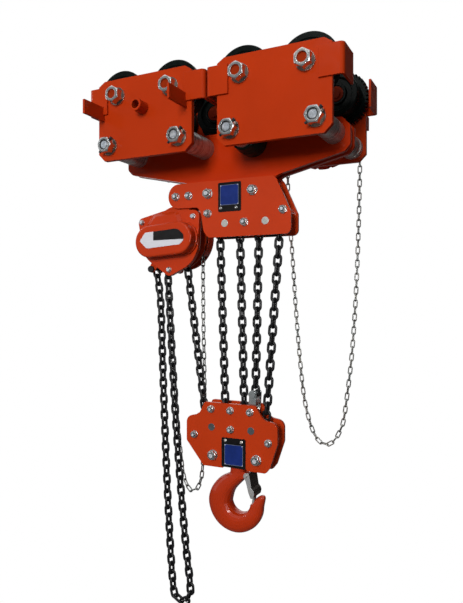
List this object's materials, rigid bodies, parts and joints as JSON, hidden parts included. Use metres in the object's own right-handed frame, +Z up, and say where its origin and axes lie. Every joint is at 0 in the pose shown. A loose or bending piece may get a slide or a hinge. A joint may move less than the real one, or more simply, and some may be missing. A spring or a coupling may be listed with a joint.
{
  "type": "chain block with geared trolley",
  "caption": "Multi-fall manual chain hoist under a geared beam trolley: load beam, frame with sheaves, hook block on a heavy load chain, and endless hand chains.",
  "frame": {"origin": "midway between the two trolleys, on the plane that the wheel treads run on", "axes": "+X along the runway beam, +Z up, -Y towards the side with the gear cover and the rating plates"},
  "size_m": [0.928, 0.648, 1.9432],
  "materials": {
    "paint": "gloss",
    "zinc": "satin",
    "cast": "satin",
    "dark_steel": "satin",
    "label": "gloss",
    "plate": "satin"
  },
  "bodies": {
    "trolley_and_frame": {"near_left_side_plate": "paint", "near_right_side_plate": "paint", "far_left_side_plate": "paint", "far_right_side_plate": "paint", "end_guards": "paint", "drive_brackets": "paint", "wheel_axles": "zinc", "trolley_nuts": "zinc", "trolley_washers": "zinc", "split_pins": "dark_steel", "cross_shafts": "zinc", "spacer_sleeves": "zinc", "beam_near_plate": "paint", "beam_far_plate": "paint", "trolley_hand_chain": "zinc", "frame_near_plate": "paint", "frame_far_plate": "paint", "frame_bolts": "zinc", "frame_spacers": "zinc", "upper_sheave_pins": "zinc", "frame_label": "label", "hoist_near_plate": "paint", "hoist_far_plate": "paint", "hoist_ties": "zinc", "gear_cover": "paint", "cover_nuts": "zinc", "nameplate": "plate", "hand_wheel_cover": "paint", "hoist_hand_chain": "zinc", "load_chain_upper": "dark_steel"},
    "near_left_outer_wheel_body": {"near_left_outer_wheel": "cast"},
    "near_left_inner_wheel_body": {"near_left_inner_wheel": "cast"},
    "near_right_outer_wheel_body": {"near_right_outer_wheel": "cast"},
    "near_right_inner_wheel_body": {"near_right_inner_wheel": "cast"},
    "far_left_outer_wheel_body": {"far_left_outer_wheel": "cast"},
    "far_left_inner_wheel_body": {"far_left_inner_wheel": "cast"},
    "far_right_outer_wheel_body": {"far_right_outer_wheel": "cast"},
    "far_right_inner_wheel_body": {"far_right_inner_wheel": "cast"},
    "travel_drive": {"drive_shaft": "zinc", "drive_pinion": "cast", "trolley_hand_wheel": "paint"},
    "hoist_wheel": {"hoist_hand_wheel": "paint"},
    "load_sheave_body": {"load_sheave": "cast"},
    "upper_left_sheave_body": {"upper_left_sheave": "cast"},
    "upper_right_sheave_body": {"upper_right_sheave": "cast"},
    "hook_block": {"block_near_plate": "paint", "block_far_plate": "paint", "block_bolts": "zinc", "block_spacers": "zinc", "block_sheave_pins": "zinc", "block_label": "label", "crosshead": "cast", "chain_clevis": "zinc", "load_chain_falls": "dark_steel", "load_chain_lower": "dark_steel"},
    "lower_left_sheave_body": {"lower_left_sheave": "cast"},
    "lower_right_sheave_body": {"lower_right_sheave": "cast"},
    "hook_body": {"hook": "paint", "hook_nut": "zinc"},
    "latch_body": {"hook_latch": "dark_steel"}
  },
  "joints": [
    {"name": "near_left_outer_wheel_roll", "type": "hinge", "parent": "trolley_and_frame", "child": "near_left_outer_wheel_body", "pos_m": [-0.3455, -0.14, 0.076], "axis": [0, 1, 0], "continuous": true},
    {"name": "near_left_inner_wheel_roll", "type": "hinge", "parent": "trolley_and_frame", "child": "near_left_inner_wheel_body", "pos_m": [-0.1285, -0.14, 0.076], "axis": [0, 1, 0], "continuous": true},
    {"name": "near_right_outer_wheel_roll", "type": "hinge", "parent": "trolley_and_frame", "child": "near_right_outer_wheel_body", "pos_m": [0.3455, -0.14, 0.076], "axis": [0, 1, 0], "continuous": true},
    {"name": "near_right_inner_wheel_roll", "type": "hinge", "parent": "trolley_and_frame", "child": "near_right_inner_wheel_body", "pos_m": [0.1285, -0.14, 0.076], "axis": [0, 1, 0], "continuous": true},
    {"name": "far_left_outer_wheel_roll", "type": "hinge", "parent": "trolley_and_frame", "child": "far_left_outer_wheel_body", "pos_m": [-0.3455, 0.14, 0.076], "axis": [0, 1, 0], "continuous": true},
    {"name": "far_left_inner_wheel_roll", "type": "hinge", "parent": "trolley_and_frame", "child": "far_left_inner_wheel_body", "pos_m": [-0.1285, 0.14, 0.076], "axis": [0, 1, 0], "continuous": true},
    {"name": "far_right_outer_wheel_roll", "type": "hinge", "parent": "trolley_and_frame", "child": "far_right_outer_wheel_body", "pos_m": [0.3455, 0.14, 0.076], "axis": [0, 1, 0], "continuous": true},
    {"name": "far_right_inner_wheel_roll", "type": "hinge", "parent": "trolley_and_frame", "child": "far_right_inner_wheel_body", "pos_m": [0.1285, 0.14, 0.076], "axis": [0, 1, 0], "continuous": true},
    {"name": "travel_drive_turn", "type": "hinge", "parent": "trolley_and_frame", "child": "travel_drive", "pos_m": [0.237, 0.3, 0.02066], "axis": [0, 1, 0], "continuous": true},
    {"name": "hoist_wheel_turn", "type": "hinge", "parent": "trolley_and_frame", "child": "hoist_wheel", "pos_m": [-0.242, 0.075, -0.4], "axis": [0, 1, 0], "continuous": true},
    {"name": "load_sheave_turn", "type": "hinge", "parent": "trolley_and_frame", "child": "load_sheave_body", "pos_m": [-0.242, 0, -0.4], "axis": [0, 1, 0], "range_deg": [-1014, 0]},
    {"name": "upper_left_sheave_turn", "type": "hinge", "parent": "trolley_and_frame", "child": "upper_left_sheave_body", "pos_m": [-0.0126, 0, -0.365], "axis": [0, 1, 0], "range_deg": [-609, 0]},
    {"name": "upper_right_sheave_turn", "type": "hinge", "parent": "trolley_and_frame", "child": "upper_right_sheave_body", "pos_m": [0.1414, 0, -0.365], "axis": [0, 1, 0], "range_deg": [0, 203]},
    {"name": "hook_block_lift", "type": "slide", "parent": "trolley_and_frame", "child": "hook_block", "axis": [0, 0, 1], "range_m": [0, 0.14], "deforming": ["load_chain_falls"]},
    {"name": "lower_left_sheave_turn", "type": "hinge", "parent": "hook_block", "child": "lower_left_sheave_body", "pos_m": [-0.067, 0, -1.0845], "axis": [0, 1, 0], "range_deg": [0, 811]},
    {"name": "lower_right_sheave_turn", "type": "hinge", "parent": "hook_block", "child": "lower_right_sheave_body", "pos_m": [0.0864, 0, -1.0845], "axis": [0, 1, 0], "range_deg": [0, 406]},
    {"name": "hook_swivel", "type": "hinge", "parent": "hook_block", "child": "hook_body", "pos_m": [0.024, 0, -1.18], "axis": [0, 0, 1], "continuous": true},
    {"name": "latch_open", "type": "hinge", "parent": "hook_body", "child": "latch_body", "pos_m": [0.064, 0, -1.242], "axis": [0, 1, 0], "range_deg": [0, 35], "stiffness_Nm_per_rad": 0.4, "springref_deg": -20.05}
  ],
  "couplings": [
    {"joint": "far_right_outer_wheel_roll", "follows": "travel_drive_turn", "ratio": -0.28571},
    {"joint": "far_right_inner_wheel_roll", "follows": "travel_drive_turn", "ratio": -0.28571},
    {"joint": "load_sheave_turn", "follows": "hook_block_lift", "rad_per_m": -126.36},
    {"joint": "upper_left_sheave_turn", "follows": "hook_block_lift", "rad_per_m": -75.817},
    {"joint": "upper_right_sheave_turn", "follows": "hook_block_lift", "rad_per_m": 25.272},
    {"joint": "lower_left_sheave_turn", "follows": "hook_block_lift", "rad_per_m": 101.09},
    {"joint": "lower_right_sheave_turn", "follows": "hook_block_lift", "rad_per_m": 50.545}
  ]
}
